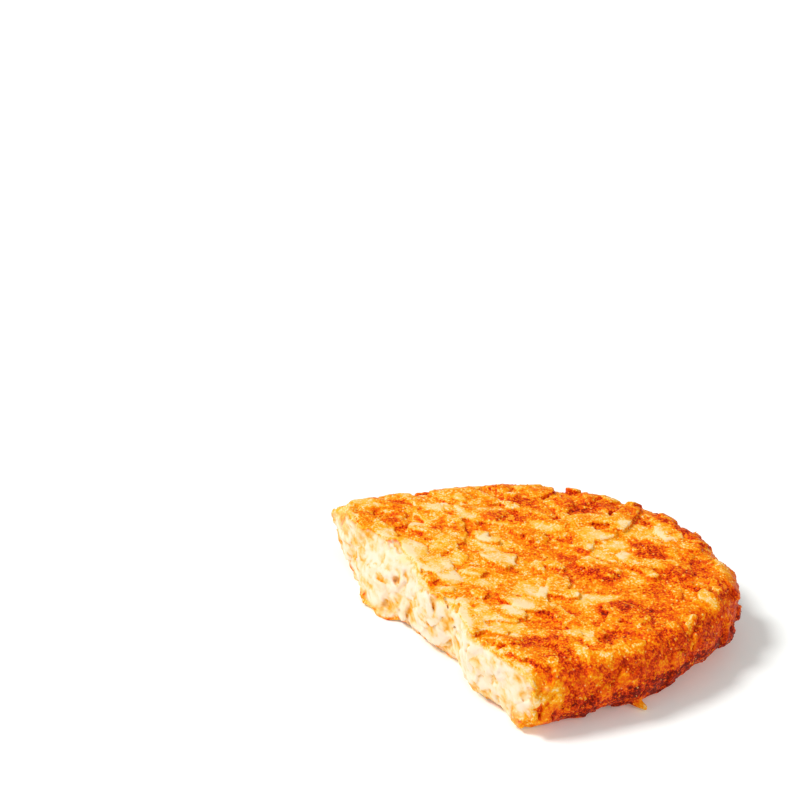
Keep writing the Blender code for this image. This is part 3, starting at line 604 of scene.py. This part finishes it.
class Nodes:
    """Short names for making a node tree."""

    def __init__(self, material):
        material.use_nodes = True
        self.tree = material.node_tree
        self.tree.nodes.clear()

    def node(self, kind, **inputs):
        made = self.tree.nodes.new("ShaderNode" + kind)
        for name, value in inputs.items():
            self.put(made, name.replace("_", " "), value)
        return made

    def put(self, node, name, value):
        socket = node.inputs[int(name)] if name.isdigit() else node.inputs[name]
        if isinstance(value, bpy.types.NodeSocket):
            self.tree.links.new(value, socket)
        else:
            socket.default_value = value

    def math(self, operation, a, b=0.0, clamp=False):
        made = self.tree.nodes.new("ShaderNodeMath")
        made.operation, made.use_clamp = operation, clamp
        self.put(made, "0", a)
        self.put(made, "1", b)
        return made.outputs[0]

    def value(self, name):
        made = self.tree.nodes.new("ShaderNodeAttribute")
        made.attribute_name = name
        return made.outputs["Fac"]

    def noise(self, where, size_mm, detail=2.0, rough=0.5, seed=0.0):
        made = self.tree.nodes.new("ShaderNodeTexNoise")
        made.noise_dimensions = "4D"
        self.put(made, "Vector", where)
        self.put(made, "Scale", 1000.0 / size_mm)
        self.put(made, "Detail", detail)
        self.put(made, "Roughness", rough)
        self.put(made, "W", seed)
        return made.outputs["Fac"]

    def ramp(self, at, stops):
        made = self.tree.nodes.new("ShaderNodeValToRGB")
        while len(made.color_ramp.elements) < len(stops):
            made.color_ramp.elements.new(1.0)
        for element, (position, colour) in zip(made.color_ramp.elements, stops):
            element.position, element.color = position, linear(colour)
        self.put(made, "Fac", at)
        return made.outputs["Color"]

    def mix(self, share, a, b, blend="MIX"):
        made = self.tree.nodes.new("ShaderNodeMix")
        made.data_type, made.blend_type = "RGBA", blend
        self.put(made, "0", share)
        for name, value in (("6", a), ("7", b)):
            self.put(made, name, value)
        return made.outputs[2]


def fried_potato():
    material = bpy.data.materials.new("fried_potato")
    t = Nodes(material)
    where = t.node("TexCoord").outputs["Object"]
    inside = t.value("inside")
    # crust: the browning with its painted shade, broken up by the grain of the crumb, less where a piece of potato lies
    # bare
    grain = t.math("SUBTRACT", t.noise(where, 1.1, 3.0, 0.62, 1.0), 0.5)
    speck = t.math("SUBTRACT", t.noise(where, 0.38, 2.0, 0.60, 2.0), 0.5)
    mottle = t.math("ADD", t.math("MULTIPLY", grain, 1.10), t.math("MULTIPLY", speck, 1.50))
    mottle = t.math("ADD", t.math("MULTIPLY", t.math("MAXIMUM", mottle, 0.0), 0.66), t.math("MULTIPLY", t.math("MINIMUM", mottle, 0.0), 1.35))
    mottle = t.math("MULTIPLY", mottle, t.math("SUBTRACT", 1.0, t.math("MULTIPLY", t.value("plain"), 0.55)))
    brown = t.math("ADD", t.value("brown"), mottle)
    crust = t.ramp(brown, (
        (0.00, (251, 219, 168)), (0.12, (252, 201, 116)), (0.25, (253, 184, 54)), (0.38, (250, 160, 8)), (0.50, (246, 136, 3)),
        (0.62, (240, 108, 4)), (0.74, (228, 76, 6)), (0.86, (192, 44, 9)), (1.00, (112, 22, 9))))
    # tiny glints of oil and crumb: more specular and less rough, and painted highlights as pale dots in the base colour
    cells = t.node("TexVoronoi", Vector=where, Scale=1000.0 / 0.95)
    gloss_and_painted_glint = t.math("MULTIPLY", t.math("LESS_THAN", cells.outputs["Distance"], 0.16), t.math("GREATER_THAN", t.node("SeparateColor", Color=cells.outputs["Color"]).outputs[0], 0.62))
    gloss_and_painted_glint = t.math("MULTIPLY", gloss_and_painted_glint, t.math("SUBTRACT", 1.0, t.math("MAXIMUM", inside, t.math("MULTIPLY", t.value("low"), 0.8))))
    # painted highlight: the glint dots are mixed towards pale gold
    crust = t.mix(t.math("MULTIPLY", gloss_and_painted_glint, 0.58), crust, linear((255, 198, 100)))
    # inside: cream mash in plates, tan in its hollows and dents, which is painted shade
    mash = t.math("ADD", t.math("MULTIPLY", t.value("pit_shade"), 0.55), t.math("MULTIPLY", t.math("SUBTRACT", t.noise(where, 2.4, 3.0, 0.6, 3.0), 0.47), 2.0))
    mash = t.math("ADD", mash, t.math("MULTIPLY", t.math("SUBTRACT", t.value("shred"), 0.30), 0.55))
    cream = t.ramp(mash, ((0.0, (249, 225, 199)), (0.23, (248, 217, 177)), (0.45, (245, 200, 130)), (0.69, (240, 168, 56)), (1.0, (231, 134, 16))))
    colour = t.mix(inside, crust, cream)
    relief = t.math("ADD", t.math("MULTIPLY", t.noise(where, 0.55, 3.0, 0.65, 4.0), 0.7), t.math("MULTIPLY", t.noise(where, 0.22, 2.0, 0.6, 5.0), 0.3))
    bump = t.node("Bump", Strength=0.7, Distance=0.00012, Height=relief)
    gloss = t.math("ADD", t.math("MULTIPLY", t.noise(where, 0.8, 2.0, 0.5, 6.0), 0.40), 0.26)
    gloss = t.math("SUBTRACT", gloss, t.math("MULTIPLY", gloss_and_painted_glint, 0.22))
    rough = t.math("ADD", gloss, t.math("MULTIPLY", inside, 0.16), clamp=True)
    shader = t.node("BsdfPrincipled", Base_Color=colour, Roughness=rough, Normal=bump.outputs[0])
    t.put(shader, "Specular IOR Level", t.math("ADD", t.math("MULTIPLY", gloss_and_painted_glint, 0.6), 0.07))
    t.put(shader, "Subsurface Weight", t.math("ADD", t.math("MULTIPLY", inside, 0.20), 0.12))
    shader.inputs["IOR"].default_value = 1.45
    shader.inputs["Subsurface Radius"].default_value = (1.0, 0.72, 0.45)
    shader.inputs["Subsurface Scale"].default_value = 0.0007
    output = t.node("OutputMaterial", Surface=shader.outputs[0])
    return material


def crisp_grains(piece):
    """Tiny crisp grains of fried potato that cling to the crust."""
    rng = np.random.default_rng(5)
    mesh = piece.data
    mesh.calc_loop_triangles()
    count, faces = len(mesh.vertices), len(mesh.loop_triangles)
    spots, normals = np.empty(count * 3, np.float32), np.empty(count * 3, np.float32)
    mesh.vertices.foreach_get("co", spots)
    mesh.vertex_normals.foreach_get("vector", normals)
    spots, normals = spots.reshape(-1, 3).astype(float), normals.reshape(-1, 3).astype(float)
    corners = np.empty(faces * 3, np.int32)
    mesh.loop_triangles.foreach_get("vertices", corners)
    corners = corners.reshape(-1, 3)
    fields = {}
    for name in ("brown", "inside"):
        fields[name] = np.empty(count, np.float32)
        mesh.attributes[name].data.foreach_get("value", fields[name])
    a, b, c = (spots[corners[:, i]] for i in range(3))
    area = np.linalg.norm(np.cross(b - a, c - a), axis=1)
    middle = (a + b + c) / 3
    crusty = (fields["inside"][corners].max(axis=1) < 0.15) & (middle[:, 2] > 0.0008)
    crusty &= fields["brown"][corners].mean(axis=1) > 0.40
    clump = 0.35 + np.clip(0.9 * noise(*(middle.T / 0.004), 97) + 0.5 * noise(*(middle.T / 0.0013), 98), -0.3, 1)
    weight = area * crusty * np.clip(clump, 0.02, 1)
    chosen = rng.choice(faces, GRAINS, p=weight / weight.sum())
    share = rng.dirichlet((1, 1, 1), GRAINS)
    at = sum(share[:, i:i + 1] * spots[corners[chosen, i]] for i in range(3))
    facing = sum(share[:, i:i + 1] * normals[corners[chosen, i]] for i in range(3))
    tone = fields["brown"][corners[chosen]].mean(axis=1) + rng.choice((-0.26, -0.16, -0.06, 0.02), GRAINS) + rng.normal(0, 0.04, GRAINS)
    ball = bmesh.new()
    bmesh.ops.create_icosphere(ball, subdivisions=1, radius=1.0)
    shape = np.array([v.co[:] for v in ball.verts])
    sides = np.array([[v.index for v in f.verts] for f in ball.faces])
    ball.free()
    size = rng.uniform(0.08, 0.20, GRAINS) * MM
    size = np.where(rng.random(GRAINS) < 0.12, size * 1.6, size)
    local = shape[None] * rng.uniform(0.62, 1.35, (GRAINS, len(shape), 1)) * np.stack([rng.uniform(0.8, 1.7, GRAINS), rng.uniform(0.7, 1.1, GRAINS), rng.uniform(0.45, 0.8, GRAINS)], 1)[:, None]
    side = np.cross(facing, rng.normal(size=(GRAINS, 3)))
    side /= np.linalg.norm(side, axis=1, keepdims=True)
    other = np.cross(facing, side)
    turned = local[:, :, :1] * side[:, None] + local[:, :, 1:2] * other[:, None] + local[:, :, 2:] * facing[:, None]
    corners = at[:, None] + turned * size[:, None, None] + facing[:, None] * (size * 0.05)[:, None, None]
    made = bpy.data.meshes.new("crisp_grains")
    faces = (sides[None] + np.arange(GRAINS)[:, None, None] * len(shape)).reshape(-1, 3)
    made.vertices.add(GRAINS * len(shape))
    made.vertices.foreach_set("co", corners.astype(np.float32).ravel())
    made.loops.add(faces.size)
    made.loops.foreach_set("vertex_index", faces.astype(np.int32).ravel())
    made.polygons.add(len(faces))
    made.polygons.foreach_set("loop_start", np.arange(0, faces.size, 3, dtype=np.int32))
    made.update(calc_edges=True)
    each = len(shape)
    add_attribute(made, "brown", np.repeat(np.clip(tone, 0.02, 0.95), each))
    add_attribute(made, "inside", np.zeros(GRAINS * each))
    add_attribute(made, "plain", np.zeros(GRAINS * each))
    add_attribute(made, "pit_shade", np.zeros(GRAINS * each))
    add_attribute(made, "shred", np.full(GRAINS * each, 0.5))
    add_attribute(made, "low", np.zeros(GRAINS * each))
    made.shade_smooth()
    grains = bpy.data.objects.new("crisp_grains", made)
    scene.collection.objects.link(grains)
    return grains


# ---- The piece -------------------------------------------------------------------
scene = bpy.context.scene
piece = hash_brown_piece()
piece.data.materials.clear()
piece.data.materials.append(fried_potato())
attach(piece, "root")
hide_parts("hash_brown_half")
grains = crisp_grains(piece)
grains.data.materials.append(piece.data.materials[0])
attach(grains, "root")


# ---- Floor, light and camera -----------------------------------------------------
bpy.ops.mesh.primitive_plane_add(size=6.0, location=(0, 0, 0))
floor = bpy.context.object
floor.name = "floor"
paper = bpy.data.materials.new("pale_floor")
paper.use_nodes = True
paper.node_tree.nodes["Principled BSDF"].inputs["Base Color"].default_value = (0.94, 0.955, 0.94, 1)
paper.node_tree.nodes["Principled BSDF"].inputs["Roughness"].default_value = 0.9
paper.node_tree.nodes["Principled BSDF"].inputs["Specular IOR Level"].default_value = 0.1
# the floor glows faintly, a little green: painted light that lightens the shadows on it and takes the pink out of them
paper.node_tree.nodes["Principled BSDF"].inputs["Emission Color"].default_value = (0.78, 1.0, 0.90, 1)
paper.node_tree.nodes["Principled BSDF"].inputs["Emission Strength"].default_value = 0.11
floor.data.materials.append(paper)


def softbox(name, place, size, power, aim=(0, 0, 0.006), colour=(1, 1, 1)):
    light = bpy.data.lights.new(name, "AREA")
    light.shape, light.size, light.energy, light.color = "DISK", size, power, colour
    lamp = bpy.data.objects.new(name, light)
    lamp.location = place
    lamp.rotation_euler = (Vector(aim) - Vector(place)).to_track_quat("-Z", "Y").to_euler()
    scene.collection.objects.link(lamp)
    return lamp


softbox("key", (-1.28, 0.42, 1.86), 0.80, 38.0)
softbox("fill", (0.80, -1.66, 1.05), 1.50, 9.8)
softbox("side", (-1.90, -0.70, 0.80), 1.10, 3.8)
world = bpy.data.worlds.new("studio")
scene.world = world
world.use_nodes = True
world.node_tree.nodes["Background"].inputs["Color"].default_value = (1, 1, 1, 1)
world.node_tree.nodes["Background"].inputs["Strength"].default_value = 0.42
scene.view_settings.view_transform = "Standard"


def photo_camera():
    """The camera of the photo: 33 degrees up, 15 degrees round, 0.7 m away with a long lens."""
    up_angle, round_angle, roll = math.radians(33.0), math.radians(-15.0), math.radians(1.7)
    distance, focal = 0.700, 5.884 * 700          # focal length in pixels of the 800-pixel frame
    spot = (427.8, 612.8)                         # pixel of the whole patty's middle, 6 mm up
    back = Vector((math.sin(round_angle) * math.cos(up_angle), -math.cos(round_angle) * math.cos(up_angle), math.sin(up_angle)))
    right = Vector((math.cos(round_angle), math.sin(round_angle), 0))
    up = back.cross(right)
    right, up = math.cos(roll) * right + math.sin(roll) * up, math.cos(roll) * up - math.sin(roll) * right
    place = Vector((-CENTRE_X * MM, -CENTRE_Y * MM, 0.006)) + back * distance
    look = (-back + right * ((400 - spot[0]) / focal) - up * ((400 - spot[1]) / focal)).normalized()
    right = (right - look * right.dot(look)).normalized()
    up = right.cross(look)
    data = bpy.data.cameras.new("camera")
    data.sensor_width, data.lens = 36.0, focal * 36.0 / 800
    data.clip_start = 0.05
    camera = bpy.data.objects.new("camera", data)
    camera.matrix_world = Matrix(((right.x, up.x, -look.x, place.x), (right.y, up.y, -look.y, place.y), (right.z, up.z, -look.z, place.z), (0, 0, 0, 1)))
    scene.collection.objects.link(camera)
    scene.camera = camera


photo_camera()
